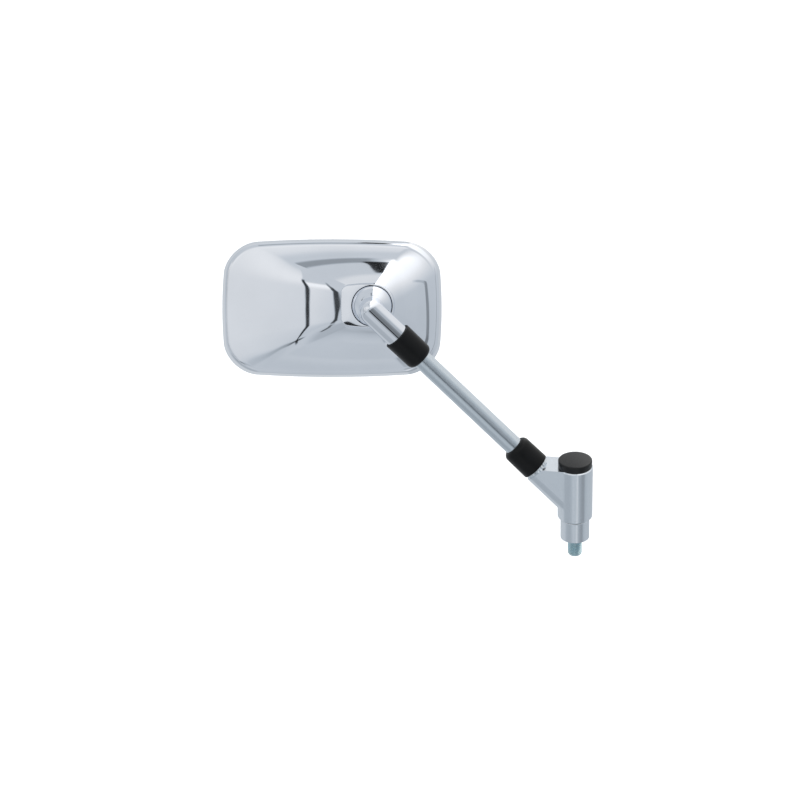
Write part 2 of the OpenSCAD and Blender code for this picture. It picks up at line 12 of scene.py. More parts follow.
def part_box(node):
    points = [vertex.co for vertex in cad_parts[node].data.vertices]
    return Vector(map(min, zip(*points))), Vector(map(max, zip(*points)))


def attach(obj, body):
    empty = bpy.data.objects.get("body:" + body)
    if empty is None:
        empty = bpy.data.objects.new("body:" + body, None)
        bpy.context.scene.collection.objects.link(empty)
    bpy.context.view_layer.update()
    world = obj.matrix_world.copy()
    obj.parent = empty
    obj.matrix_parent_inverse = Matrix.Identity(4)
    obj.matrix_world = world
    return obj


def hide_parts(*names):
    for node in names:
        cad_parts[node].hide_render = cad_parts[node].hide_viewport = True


bl_info = {
    "name": "Motorcycle Mirror",
    "version": (1, 0, 0),
    "blender": (4, 5, 0),
    "location": "View3D > Sidebar > Mirror",
    "description": "Builds the chromed mirror head, stem, boots and base around the packed frame",
    "category": "Object",
}

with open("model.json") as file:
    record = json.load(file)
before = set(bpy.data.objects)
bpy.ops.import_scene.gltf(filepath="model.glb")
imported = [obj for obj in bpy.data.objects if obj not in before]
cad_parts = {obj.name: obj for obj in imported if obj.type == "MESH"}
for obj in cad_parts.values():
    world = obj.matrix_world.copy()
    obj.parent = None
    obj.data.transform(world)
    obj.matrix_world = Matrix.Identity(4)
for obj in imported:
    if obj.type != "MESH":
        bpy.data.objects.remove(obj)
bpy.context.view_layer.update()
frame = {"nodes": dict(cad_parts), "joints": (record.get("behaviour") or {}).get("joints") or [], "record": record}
NODES = frame["nodes"]
JOINTS = {joint["name"]: joint for joint in frame["joints"]}

# Places that the frame gives: the stem's axis, the ball and the head's own axes
STEM_FOOT = Vector(JOINTS["stem_turn"]["pos_m"])
STEM_DIR = Vector(JOINTS["stem_turn"]["axis"]).normalized()
BALL = Vector(JOINTS["head_tilt"]["pos_m"])
HEAD_RIGHT = Vector(JOINTS["head_tilt"]["axis"]).normalized()
HEAD_UP = Vector(JOINTS["head_pan"]["axis"]).normalized()
HEAD_OUT = Vector(JOINTS["head_roll"]["axis"]).normalized()


def axes_matrix(x, y, z, origin):
    """Matrix whose columns are three axes and a place."""
    turned = Matrix((x, y, z)).transposed().to_4x4()
    return Matrix.Translation(origin) @ turned


def stem_matrix(t):
    """Frame on the stem's axis, t metres from the stem's joint, z along the stem."""
    x = Vector((0, 1, 0)).cross(STEM_DIR).normalized()
    return axes_matrix(x, STEM_DIR.cross(x), STEM_DIR, STEM_FOOT + STEM_DIR * t)


HEAD = axes_matrix(HEAD_RIGHT, HEAD_UP, HEAD_OUT, BALL)
STEM = stem_matrix(0)


def stem_span(node):
    """Nearest and furthest distance of a node along the stem's axis."""
    along = [(v.co - STEM_FOOT).dot(STEM_DIR) for v in NODES[node].data.vertices]
    return min(along), max(along)


def length(name, words, value, low=0.0001, high=1.0):
    """A length property in metres."""
    return FloatProperty(name=name, description=words, default=value, min=low, max=high,
                         subtype="DISTANCE", unit="LENGTH", precision=4)


def colour(name, words, value):
    """A linear colour property."""
    return FloatVectorProperty(name=name, description=words, default=value, size=3,
                               min=0.0, max=1.0, subtype="COLOR")


def factor(name, words, value, high=1.0):
    """A plain share."""
    return FloatProperty(name=name, description=words, default=value, min=0.0, max=high,
                         subtype="FACTOR")


def coordinate(name, words, value):
    """A coordinate in metres."""
    return FloatProperty(name=name, description=words, default=value, unit="LENGTH")


class MirrorHeadSizes(bpy.types.PropertyGroup):
    """Sizes of the head"""
    width: length("Width", "Width of the head", 0.154)
    height: length("Height", "Height of the head", 0.0968)
    depth: length("Depth", "Depth of the head from its rim to the flat top", 0.040)
    shift_x: length("Shift left", "Distance of the head's middle from the ball, to the left", 0.0281)
    shift_y: length("Shift down", "Distance of the head's middle from the ball, downwards", 0.0012)
    corner: length("Corner radius", "Radius of the rim's corners", 0.0225)
    bulge: length("Bulge", "How far the rim's sides bulge", 0.0033)
    wall: length("Wall", "Wall of the housing", 0.0022)
    side: length("Side wall", "Height of the side wall", 0.009)
    draft: length("Draft", "Draft of the side wall", 0.0014)
    edge: length("Back edge", "Rounding between the side wall and the back", 0.0034)
    flat_left: length("Flat top", "Extent of the flat top to the left of the ball", 0.021)
    flat_edge: length("Flat top edge", "Rounding round the flat top", 0.0009)
    lip: length("Lip", "Width of the flat lip round the ball", 0.0006)
    pinch: factor("Pinch", "Share by which the flat top narrows to the left", 0.1)
    slope_share: factor("Slope share", "Share of the back's rise that is a plain slope", 0.25)
    flare: FloatProperty(name="Flare", description="Power of the back's concave flare",
                         default=2.6, min=1.5, max=4.0)
    boss: length("Boss radius", "Radius of the boss that holds the ball's clamp", 0.021)
    boss_bore: length("Boss bore", "Radius of the boss's bore", 0.0174)
    boss_start: length("Boss start", "Depth of the bore's upper end below the ball's centre", 0.0015)
    boss_foot: length("Boss foot", "Depth of the boss's foot below the ball's centre", 0.0157)
    rim_depth: length("Rim depth", "Depth of the rubber rim", 0.006)
    rim_width: length("Rim width", "Width of the rubber rim", 0.003)
    rim_bite: length("Rim bite", "Overlap of the rubber rim and the glass", 0.0014)
    glass: length("Glass", "Thickness of the glass", 0.002)
    glass_radius: length("Glass radius", "Radius of curvature of the glass", 1.2, high=3.0)


class MirrorNeckSizes(bpy.types.PropertyGroup):
    """Sizes of the neck and its ball"""
    radius: length("Radius", "Radius of the neck", 0.00885)
    bend: length("Bend", "Rounding of the elbow at its middle", 0.0026)
    cove: length("Cove", "Radius of the cove between neck and ball", 0.00115)
    ball: length("Ball", "Radius of the ball", 0.0145)
    seat_gap: length("Seat gap", "Running gap between ball and seat", 0.00005, low=0.0)
    seat_bite: length("Seat bite", "How far the seat's edge closes in over the ball", 0.0005)


class MirrorStemSizes(bpy.types.PropertyGroup):
    """Sizes of the tube and its boots"""
    tube: length("Tube radius", "Radius of the tube", 0.00675)
    tube_wall: length("Tube wall", "Wall of the tube", 0.0015)
    boot_mouth: length("Boot mouth", "Radius of a boot at its mouth", 0.0104)
    boot_tail: length("Boot tail", "Radius of a boot near its closed end", 0.01015)
    boot_bore: length("Boot bore", "Radius of a boot's bore", 0.00915)
    boot_end: length("Boot end", "Thickness of a boot's closed end", 0.005)
    boot_edge: length("Boot edge", "Rounding of a boot's closed end", 0.0042)
    boot_lip: length("Boot lip", "Radius of the groove round the tube", 0.0006)
    nut_edge: length("Nut edge", "Rounding of the lock nuts' edges", 0.00012)


class MirrorBaseSizes(bpy.types.PropertyGroup):
    """Sizes of the stud, the cap and the casting's edges"""
    stud: length("Stud radius", "Radius over the stud's thread", 0.00495)
    stud_length: length("Stud length", "Length of the stud below the seat", 0.014)
    pitch: length("Pitch", "Pitch of the stud's thread", 0.00125)
    thread_depth: length("Thread depth", "Depth of the stud's thread", 0.00062)
    cast_edge: length("Cast edge", "Rounding of the casting's edges", 0.0007)
    nose_edge: length("Nose edge", "Rounding at the foot of the nose", 0.0028)
    cap: length("Cap radius", "Radius of the cap", 0.0120)
    cap_rise: length("Cap rise", "How far the crown stands above the CAD cap", 0.0004)
    cap_height: length("Cap height", "Height of the cap above the barrel", 0.005)


class MirrorColours(bpy.types.PropertyGroup):
    """Colours of the finishes"""
    chrome: colour("Chrome", "Colour of the chrome plating", (0.80, 0.83, 0.88))
    tube: colour("Tube", "Colour of the satin tube", (0.64, 0.70, 0.75))
    casting: colour("Casting", "Colour of the casting", (0.725, 0.77, 0.82))
    zinc: colour("Zinc", "Colour of the blue zinc plating", (0.48, 0.66, 0.72))
    bright: colour("Bright plating", "Colour of the lock nuts' plating", (0.72, 0.76, 0.79))
    steel: colour("Steel", "Colour of plain spring steel", (0.35, 0.35, 0.36))
    rubber: colour("Rubber", "Colour of the boots", (0.003, 0.0033, 0.0038))
    cap: colour("Cap", "Colour of the plastic cap", (0.004, 0.0045, 0.005))
    bearing: colour("Bearing plastic", "Colour of the bearing plastic", (0.40, 0.42, 0.43))
    foam: colour("Foam", "Colour of the foam pad", (0.06, 0.06, 0.065))
    glass: colour("Glass", "Colour of the silvered glass", (0.86, 0.90, 0.92))


class MirrorStudio(bpy.types.PropertyGroup):
    """Camera, floor, soft light and how finely pieces are turned"""
    elevation: FloatProperty(name="Elevation", description="Angle of the camera above the horizon",
                             default=math.radians(29.6), subtype="ANGLE", unit="ROTATION")
    distance: length("Distance", "Distance of the camera", 15.0, high=40.0)
    field: length("Field", "Width of the view at the object", 0.560)
    aim_x: coordinate("Aim X", "Place across the view that the camera looks at", -0.122745)
    aim_y: coordinate("Aim Y", "Depth that the camera looks at", 0.010)
    aim_z: coordinate("Aim Z", "Height that the camera looks at", 0.1042)
    floor_drop: length("Floor drop", "Distance of the floor below the stud", 0.35)
    floor_size: length("Floor size", "Half the width of the floor", 6.0, high=20.0)
    lamp_size: length("Lamp size", "Width of the soft light", 1.6, high=5.0)
    lamp_power: FloatProperty(name="Lamp power", description="Power of the soft light", default=26.0,
                              min=0.0, unit="POWER")
    lamp_place: FloatVectorProperty(name="Lamp place", description="Place of the soft light",
                                    default=(-0.9, -2.2, 3.0), unit="LENGTH")
    segments: IntProperty(name="Segments", description="Segments round a turned piece", default=128, min=24)


GROUPS = {
    "mirror_head": MirrorHeadSizes,
    "mirror_neck": MirrorNeckSizes,
    "mirror_stem": MirrorStemSizes,
    "mirror_base": MirrorBaseSizes,
    "mirror_colours": MirrorColours,
    "mirror_studio": MirrorStudio,
}


def sizes(group):
    """The property group of that name on the scene."""
    return getattr(bpy.context.scene, group)


# Mesh helpers

def finish_mesh(bm, name, flip_check=True):
    """Merges doubles, points the faces outwards and makes a mesh."""
    bmesh.ops.remove_doubles(bm, verts=bm.verts, dist=1e-7)
    if flip_check:
        bmesh.ops.recalc_face_normals(bm, faces=bm.faces)
    for face in bm.faces:
        face.smooth = True
    mesh = bpy.data.meshes.new(name)
    bm.to_mesh(mesh)
    bm.free()
    return mesh


def add_piece(name, bm, body, slot, nodes, finish=None, sharp=35, flat=False):
    """Makes a bmesh a piece that rides on a body and stands for CAD nodes; sharp is in degrees."""
    mesh = finish_mesh(bm, name)
    piece = bpy.data.objects.new(name, mesh)
    bpy.context.scene.collection.objects.link(piece)
    mesh.materials.append(finish_named(finish or slot))
    mesh.set_sharp_from_angle(angle=math.radians(sharp))
    if flat:
        piece.modifiers.new("flat_faces", "WEIGHTED_NORMAL").keep_sharp = True
    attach(piece, body)
    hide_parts(*nodes)


def lathe(profile):
    """A bmesh turned from (radius, height) points about z."""
    bm = bmesh.new()
    verts = [bm.verts.new((r, 0, z)) for r, z in profile]
    edges = [bm.edges.new(pair) for pair in zip(verts, verts[1:])]
    bmesh.ops.spin(bm, geom=verts + edges, cent=(0, 0, 0), axis=(0, 0, 1), angle=math.tau,
                   steps=sizes("mirror_studio").segments, use_merge=True)
    return bm


def arc(cx, cz, radius, start, end, steps):
    """Points of an arc in a profile, angles in degrees."""
    turns = [math.radians(start + (end - start) * i / steps) for i in range(steps + 1)]
    return [(cx + radius * math.cos(a), cz + radius * math.sin(a)) for a in turns]


def loft(rings, closed=False):
    """A bmesh through rings of points: the last joins the first, or a face shuts each end."""
    bm = bmesh.new()
    lines = []
    for ring in rings:
        verts = [bm.verts.new(place) for place in ring]
        lines.append([bm.edges.new((verts[i - 1], verts[i])) for i in range(len(verts))])
    ends = [(lines[-1], lines[0])] if closed else []
    for lower, upper in list(zip(lines, lines[1:])) + ends:
        bmesh.ops.bridge_loops(bm, edges=lower + upper)
    if not closed:
        bmesh.ops.holes_fill(bm, edges=lines[0] + lines[-1])
    return bm


def node_copy(node):
    """A bmesh copy of a CAD node."""
    bm = bmesh.new()
    bm.from_mesh(NODES[node].data)
    return bm


def clean(bm, near):
    """Merges vertices that are near each other and joins faces of one plane."""
    bmesh.ops.remove_doubles(bm, verts=bm.verts, dist=near)
    bmesh.ops.dissolve_limit(bm, angle_limit=math.radians(0.5), verts=bm.verts, edges=bm.edges)


def round_edges(bm, edges, width, segments):
    """Rounds edges of a bmesh."""
    bmesh.ops.bevel(bm, geom=edges, offset=width, offset_type="OFFSET", segments=segments,
                    profile=0.5, affect="EDGES", clamp_overlap=True, material=-1)


def softened(node, width, segments):
    """A bmesh copy of a CAD node with its sharp edges rounded."""
    bm = node_copy(node)
    clean(bm, 1e-6)
    limit = math.radians(32)
    edges = [e for e in bm.edges if len(e.link_faces) == 2 and e.calc_face_angle(0) > limit]
    round_edges(bm, edges, width, segments)
    return bm


# Node and material helpers

class NodeTree:
    """Short ways to add to a node tree."""

    def __init__(self, tree):
        self.tree = tree

    def add(self, kind, **inputs):
        """A node with its inputs set or linked."""
        node = self.tree.nodes.new(kind)
        for key, value in inputs.items():
            self.put(node.inputs[key.replace("_", " ")], value)
        return node

    def put(self, socket, value):
        """Sets a socket or links another socket to it."""
        if isinstance(value, bpy.types.NodeSocket):
            self.tree.links.new(value, socket)
        else:
            socket.default_value = value

    def colour_mix(self, share, first, second):
        """First colour where share is 0, second where it is 1."""
        node = self.add("ShaderNodeMix")
        node.data_type = "RGBA"
        self.put(node.inputs[0], share)
        self.put(node.inputs[6], first)
        self.put(node.inputs[7], second)
        return node.outputs[2]


class Finish(NodeTree):
    """A node material built step by step around one Principled shader."""

    def __init__(self, name):
        self.material = bpy.data.materials.new(name)
        self.material.use_nodes = True
        super().__init__(self.material.node_tree)
        self.shader = self.tree.nodes["Principled BSDF"]
        self.coords = self.add("ShaderNodeTexCoord").outputs["Object"]

    def set(self, **inputs):
        """Sets the shader's own sockets."""
        for key, value in inputs.items():
            self.put(self.shader.inputs[key.replace("_", " ")], value)

    def turned(self, scale, rotation):
        """Object coordinates, scaled and turned."""
        return self.add("ShaderNodeMapping", Vector=self.coords, Scale=scale, Rotation=rotation).outputs[0]

    def noise(self, scale, detail=3.0, vector=None):
        """Noise from 0 to 1."""
        node = self.add("ShaderNodeTexNoise", Scale=scale, Detail=detail, Vector=vector or self.coords)
        return node.outputs["Fac"]

    def ramp(self, value, low=0.3, high=0.7, out_low=0.0, out_high=1.0):
        """Value from low to high mapped to another range, clamped."""
        node = self.add("ShaderNodeMapRange", Value=value)
        for socket, number in zip(node.inputs[1:5], (low, high, out_low, out_high)):
            socket.default_value = number
        return node.outputs[0]

    def tinted(self, share, tint, dark, light):
        """The tint from a dark to a light shade of it."""
        return self.colour_mix(share, shade(tint, dark), shade(tint, light))

    def metal(self, tint, value, smooth, rough):
        """Metal of a colour, whose roughness goes from smooth to rough with the value."""
        roughness = self.ramp(value, out_low=smooth, out_high=rough)
        self.set(Base_Color=tint, Metallic=1.0, Roughness=roughness)

    def bump(self, height, strength, distance, **others):
        """A bump from a height; others may give the normal that it starts from."""
        node = self.add("ShaderNodeBump", Height=height, Strength=strength, Distance=distance, **others)
        return node.outputs[0]


def shade(value, share):
    """A colour made lighter or darker, with alpha."""
    return tuple(min(1.0, c * share) for c in value[:3]) + (1.0,)


def along_stem():
    """Rotation that puts the stem's axis on z in a Mapping node."""
    return STEM.to_3x3().inverted().to_euler()


def chrome_finish():
    """Bright plating with a faint haze and the softest ripple of a polished surface."""
    f = Finish("chrome_plating")
    f.set(Base_Color=f.tinted(f.ramp(f.noise(28.0, 4.0)), sizes("mirror_colours").chrome, 0.97, 1.02),
          Metallic=1.0, Roughness=f.ramp(f.noise(90.0, 5.0), 0.35, 0.7, 0.03, 0.055),
          Normal=f.bump(f.noise(45.0, 1.0), 0.02, 0.0006))
    return f.material


def tube_finish():
    """Satin tube, polished lengthwise: fine lines along the stem."""
    f = Finish("satin_tube")
    lines = f.turned(scale=(1, 1, 0.02), rotation=along_stem())
    grain = f.noise(2600.0, 3.0, lines)
    broad = f.noise(500.0, 2.0, lines)
    f.metal(f.tinted(f.ramp(grain), sizes("mirror_colours").tube, 0.95, 1.04), broad, 0.19, 0.23)
    f.set(Normal=f.bump(grain, 0.05, 0.00002))
    return f.material


def casting_finish():
    """Satin casting: fine speckle and a slightly uneven skin."""
    f = Finish("satin_casting")
    speckle = f.noise(1500.0, 2.0)
    skin = f.noise(120.0, 4.0)
    f.metal(f.tinted(f.ramp(speckle), sizes("mirror_colours").casting, 0.97, 1.03), skin, 0.13, 0.19)
    f.set(Normal=f.bump(speckle, 0.02, 0.00004, Normal=f.bump(skin, 0.06, 0.0002)))
    return f.material


def zinc_finish():
    """Blue zinc plating with a faint shimmer of yellow."""
    f = Finish("blue_zinc")
    tint = sizes("mirror_colours").zinc
    warm = (tint[0] * 1.15, tint[1] * 1.02, tint[2] * 0.95)
    shimmer = f.ramp(f.noise(260.0), 0.4, 0.7)
    f.metal(f.colour_mix(shimmer, shade(tint, 1.0), shade(warm, 1.0)), f.noise(900.0), 0.20, 0.32)
    f.set(Normal=f.bump(f.noise(1500.0, 2.0), 0.03, 0.00003))
    return f.material


def bright_finish():
    """Bright plating of the lock nuts, slightly clouded."""
    f = Finish("bright_plating")
    clouds = f.ramp(f.noise(400.0), 0.35, 0.65)
    f.metal(f.tinted(clouds, sizes("mirror_colours").bright, 0.94, 1.03), f.noise(900.0), 0.16, 0.24)
    return f.material


def steel_finish():
    """Oiled spring steel with faint stains."""
    f = Finish("spring_steel")
    stains = f.ramp(f.noise(220.0, 4.0), 0.35, 0.65)
    f.metal(f.tinted(stains, sizes("mirror_colours").steel, 0.8, 1.2), f.noise(700.0), 0.28, 0.42)
    return f.material


def rubber_finish(name, gloss):
    """Moulded rubber: matt skin, a trace of dust and a fine grain."""
    f = Finish(name)
    dust = f.noise(130.0, 5.0)
    share = f.ramp(dust, 0.45, 0.8, 0.0, 0.35)
    f.set(Base_Color=f.tinted(share, sizes("mirror_colours").rubber, 1.0, 2.2),
          Roughness=f.ramp(dust, out_low=gloss, out_high=gloss + 0.10), Specular_IOR_Level=0.19,
          Normal=f.bump(f.noise(2200.0, 2.0), 0.12, 0.00004))
    return f.material


def plastic_finish(name, tint, roughness, grain_depth):
    """Moulded plastic with a fine spark-eroded grain, or foam with a coarser one."""
    f = Finish(name)
    grain = f.noise(1900.0)
    f.set(Base_Color=f.tinted(f.ramp(f.noise(320.0), 0.35, 0.65), tint, 0.92, 1.08),
          Roughness=f.ramp(grain, out_low=roughness - 0.05, out_high=roughness + 0.06),
          Specular_IOR_Level=0.32, Normal=f.bump(grain, 0.35, grain_depth))
    return f.material


def glass_finish():
    """Silvered glass: clean, with the faintest cool haze."""
    f = Finish("silvered_glass")
    haze = f.noise(35.0)
    f.metal(f.tinted(f.ramp(haze), sizes("mirror_colours").glass, 0.985, 1.0), haze, 0.010, 0.022)
    f.set(Coat_Weight=0.5, Coat_Roughness=0.01)
    return f.material


def floor_finish():
    """White paper that stays white to the camera and keeps a shadow, and is clear from below."""
    f = Finish("floor_paper")
    seen = f.add("ShaderNodeLightPath").outputs["Is Camera Ray"]
    glow = f.ramp(seen, 0.0, 1.0, 0.0, 0.35)
    white = (1, 1, 1, 1)
    f.set(Base_Color=f.tinted(f.noise(3.0), white, 0.93, 0.95), Roughness=0.9, Specular_IOR_Level=0.0,
          Emission_Color=white, Emission_Strength=glow)
    mixed = f.add("ShaderNodeMixShader")
    f.put(mixed.inputs[0], f.add("ShaderNodeNewGeometry").outputs["Backfacing"])
    f.put(mixed.inputs[1], f.shader.outputs[0])
    f.put(mixed.inputs[2], f.add("ShaderNodeBsdfTransparent").outputs[0])
    f.put(f.tree.nodes["Material Output"].inputs["Surface"], mixed.outputs[0])
    return f.material


FINISHES = {}


def finish_named(slot):
    """The material of a slot of the record, or the lock nuts' bright plating, made once."""
    tints = sizes("mirror_colours")
    makers = {
        "chrome": chrome_finish,
        "tube_steel": tube_finish,
        "casting": casting_finish,
        "zinc": zinc_finish,
        "bright": bright_finish,
        "spring_steel": steel_finish,
        "boot_rubber": lambda: rubber_finish("boot_rubber", 0.34),
        "rim_rubber": lambda: rubber_finish("rim_rubber", 0.55),
        "foam": lambda: plastic_finish("closed_cell_foam", tints.foam, 0.85, 0.0003),
        "cap_plastic": lambda: plastic_finish("cap_plastic", tints.cap, 0.30, 0.00003),
        "bearing_plastic": lambda: plastic_finish("bearing_plastic", tints.bearing, 0.40, 0.00002),
        "mirror": glass_finish,
    }
    if slot not in FINISHES:
        FINISHES[slot] = makers[slot]()
    return FINISHES[slot]


# The head's shape

def rounded_outline(extents, r_left, r_right, bulge):
    """Rounded rectangle about the ball, from its extents left, right, up and down."""
    left, right, up, down = extents
    corners = [(right - r_right, up - r_right, r_right, 0), (r_left - left, up - r_left, r_left, 90),
               (r_left - left, r_left - down, r_left, 180), (right - r_right, r_right - down, r_right, 270)]
    arc_steps, long_steps, short_steps = 24, 36, 18
    points = []
    for number, (cx, cy, r, start) in enumerate(corners):
        points += arc(cx, cy, r, start, start + 90, arc_steps)
        nx, ny, nr, next_start = corners[(number + 1) % 4]
        ahead = arc(nx, ny, nr, next_start, next_start + 90, 1)[0]
        behind = points[-1]
        steps = long_steps if number % 2 == 0 else short_steps
        points += [(behind[0] + (ahead[0] - behind[0]) * i / steps,
                    behind[1] + (ahead[1] - behind[1]) * i / steps) for i in range(1, steps)]
    mid = ((right - left) / 2, (up - down) / 2)
    half = ((left + right) / 2, (up + down) / 2)
    return [(mid[0] + (x - mid[0]) * (1 - bulge / half[0] * ((y - mid[1]) / half[1]) ** 2),
             mid[1] + (y - mid[1]) * (1 - bulge / half[1] * ((x - mid[0]) / half[0]) ** 2))
            for x, y in points]


class HeadShape:
    """The housing's levels, worked out from the head's sizes."""

    def __init__(self):
        h, n = sizes("mirror_head"), sizes("mirror_neck")
        self.h = h
        self.seat = n.ball + n.seat_gap
        self.opening = self.seat - n.seat_bite
        self.top = math.sqrt(self.seat ** 2 - self.opening ** 2)
        self.front_edge = 0.0006
        self.front = self.top - h.depth
        self.back = self.front + h.side + h.edge
        self.rim = (h.width / 2 + h.shift_x, h.width / 2 - h.shift_x,
                    h.height / 2 - h.shift_y, h.height / 2 + h.shift_y)
        side = self.opening + h.lip
        self.flat = (h.flat_left, side, side, side)
        left_corner, right_flattened = 0.004, 0.0015
        self.flat_r = (left_corner, side - right_flattened)
        self.flat_bulge = 0.0003
        self.land = h.wall + h.draft * h.rim_depth / h.side

    def rim_line(self, inset):
        """Outline of the rim, moved inwards."""
        r = self.h.corner - inset / 2
        return rounded_outline([e - inset for e in self.rim], r, r, self.h.bulge)

    def rise(self, u):
        """Height of the back from its edge, u = 0, to the flat top, u = 1."""
        share = self.h.slope_share * u + (1 - self.h.slope_share) * u ** self.h.flare
        return self.back + (self.top - self.h.flat_edge - self.back) * share

    def back_level(self, u, wall=0.0):
        """Level of the concave back."""
        h = self.h
        inset = h.draft + h.edge
        r0 = h.corner - inset / 2
        extents = [(a - inset) * (1 - u) + (b + h.flat_edge) * u - wall
                   for a, b in zip(self.rim, self.flat)]
        radii = [r0 * (1 - u) + (r + h.flat_edge) * u - wall * u / 2 for r in self.flat_r]
        bulge = h.bulge * (1 - u) + self.flat_bulge * u
        return self.pinched(rounded_outline(extents, *radii, bulge), extents[0], u), self.rise(u) - wall

    def top_level(self, angle):
        """Level in the rounding of the flat top, angle in degrees."""
        out = self.h.flat_edge * math.cos(math.radians(angle))
        extents = [b + out for b in self.flat]
        radii = [r + out for r in self.flat_r]
        height = self.top - self.h.flat_edge * (1 - math.sin(math.radians(angle)))
        return self.pinched(rounded_outline(extents, *radii, self.flat_bulge), extents[0], 1.0), height

    def pinched(self, outline, left, u):
        """Narrows an outline to the left of the ball."""
        return [(x, y * (1 - self.h.pinch * u * (max(0.0, -x) / left) ** 2)) for x, y in outline]

    def edge_level(self, angle):
        """Level in the rounding between side wall and back."""
        h, a = self.h, math.radians(angle)
        inset = h.draft + h.edge * (1 - math.cos(a))
        return self.rim_line(inset), self.front + h.side + h.edge * math.sin(a)


def circle_line(radius, count):
    """A circle with as many points as an outline has."""
    turns = [math.radians(360 * i / count) for i in range(count)]
    return [(radius * math.cos(a), radius * math.sin(a)) for a in turns]


class MIRROR_OT_housing(bpy.types.Operator):
    """Chromed shell with concave flanks that rise to the ball's seat"""
    bl_idname = "mirror.housing"
    bl_label = "Build Housing"

    def execute(self, context):
        shape = HeadShape()
        levels = self.outside(shape)
        count = len(levels[0][0])
        levels += [(circle_line(radius, count), height) for radius, height in self.bore(shape)]
        levels += self.inside(shape)
        rings = [[HEAD @ Vector((x, y, height)) for x, y in outline] for outline, height in levels]
        add_piece("housing_shell", loft(rings, closed=True), "head", "chrome", ["housing"])
        return {"FINISHED"}

    @staticmethod
    def outside(shape):
        """Levels from the front edge over the side wall and the back to the flat top."""
        h, edge, back_steps = shape.h, shape.front_edge, 56
        levels = [(shape.rim_line(edge), shape.front),
                  (shape.rim_line(edge * 0.3), shape.front + edge * 0.3),
                  (shape.rim_line(0), shape.front + edge)]
        levels += [(shape.rim_line(h.draft * share), shape.front + edge + (h.side - edge) * share)
                   for share in (0.25, 0.5, 0.75, 1.0)]
        levels += [shape.edge_level(angle) for angle in range(10, 90, 10)]
        levels += [shape.back_level(i / back_steps) for i in range(back_steps + 1)]
        return levels + [shape.top_level(angle) for angle in range(15, 91, 15)]

    @staticmethod
    def bore(shape):
        """Radius and height of the groove round the ball, the ball's seat and the clamp boss."""
        h, top = shape.h, shape.top
        groove = ((0.00045, 0), (0.00036, 0.00015), (0.00034, 0.0009))
        seat_heights = (top - 0.0013, top - 0.003, -h.boss_start)
        boss_rise = 0.0017
        circles = [(shape.opening + out, top - drop) for out, drop in groove]
        circles += [(math.sqrt(shape.seat ** 2 - height ** 2), height) for height in seat_heights]
        return circles + [(h.boss_bore, -h.boss_start), (h.boss_bore, -h.boss_foot), (h.boss, -h.boss_foot),
                          (h.boss, boss_rise - h.boss_foot)]

    @staticmethod
    def inside(shape):
        """Levels down the inner wall, from where the boss meets it, and round the rubber rim's land."""
        h, edge, steps, first = shape.h, shape.front_edge, 16, 11
        levels = [shape.back_level(i / steps, h.wall) for i in range(first, -1, -1)]
        return levels + [(shape.rim_line(shape.land), shape.front + h.rim_depth),
                         (shape.rim_line(shape.land), shape.front + edge * 0.5),
                         (shape.rim_line(shape.land - edge * 0.5), shape.front)]


class MIRROR_OT_glass(bpy.types.Operator):
    """Convex glass that the rubber rim holds"""
    bl_idname = "mirror.glass"
    bl_label = "Build Glass"

    def execute(self, context):
        shape = HeadShape()
        h = shape.h
        recess = 0.0003
        apex = shape.front + recess
        inset = shape.land + h.rim_width - h.rim_bite
        outline = rounded_outline([e - inset for e in shape.rim], h.corner - inset / 2,
                                  h.corner - inset / 2, h.bulge)
        centre = ((shape.rim[1] - shape.rim[0]) / 2, (shape.rim[2] - shape.rim[3]) / 2)

        def dome(x, y, radius):
            """Height of a dome that shares the glass's centre."""
            drop = math.sqrt(radius ** 2 - (x - centre[0]) ** 2 - (y - centre[1]) ** 2)
            return apex + h.glass_radius - drop

        shares = [1.0, 0.993, 0.985, 0.95, 0.9, 0.8, 0.65, 0.5, 0.35, 0.2, 0.1, 0.04]
        lines = [[(centre[0] + (x - centre[0]) * s, centre[1] + (y - centre[1]) * s) for x, y in outline]
                 for s in shares]
        rings = [[HEAD @ Vector((x, y, dome(x, y, radius))) for x, y in line]
                 for radius, order in ((h.glass_radius - h.glass, lines[::-1]), (h.glass_radius, lines))
                 for line in order]
        add_piece("convex_glass", loft(rings), "head", "mirror", ["mirror_glass"])
        return {"FINISHED"}


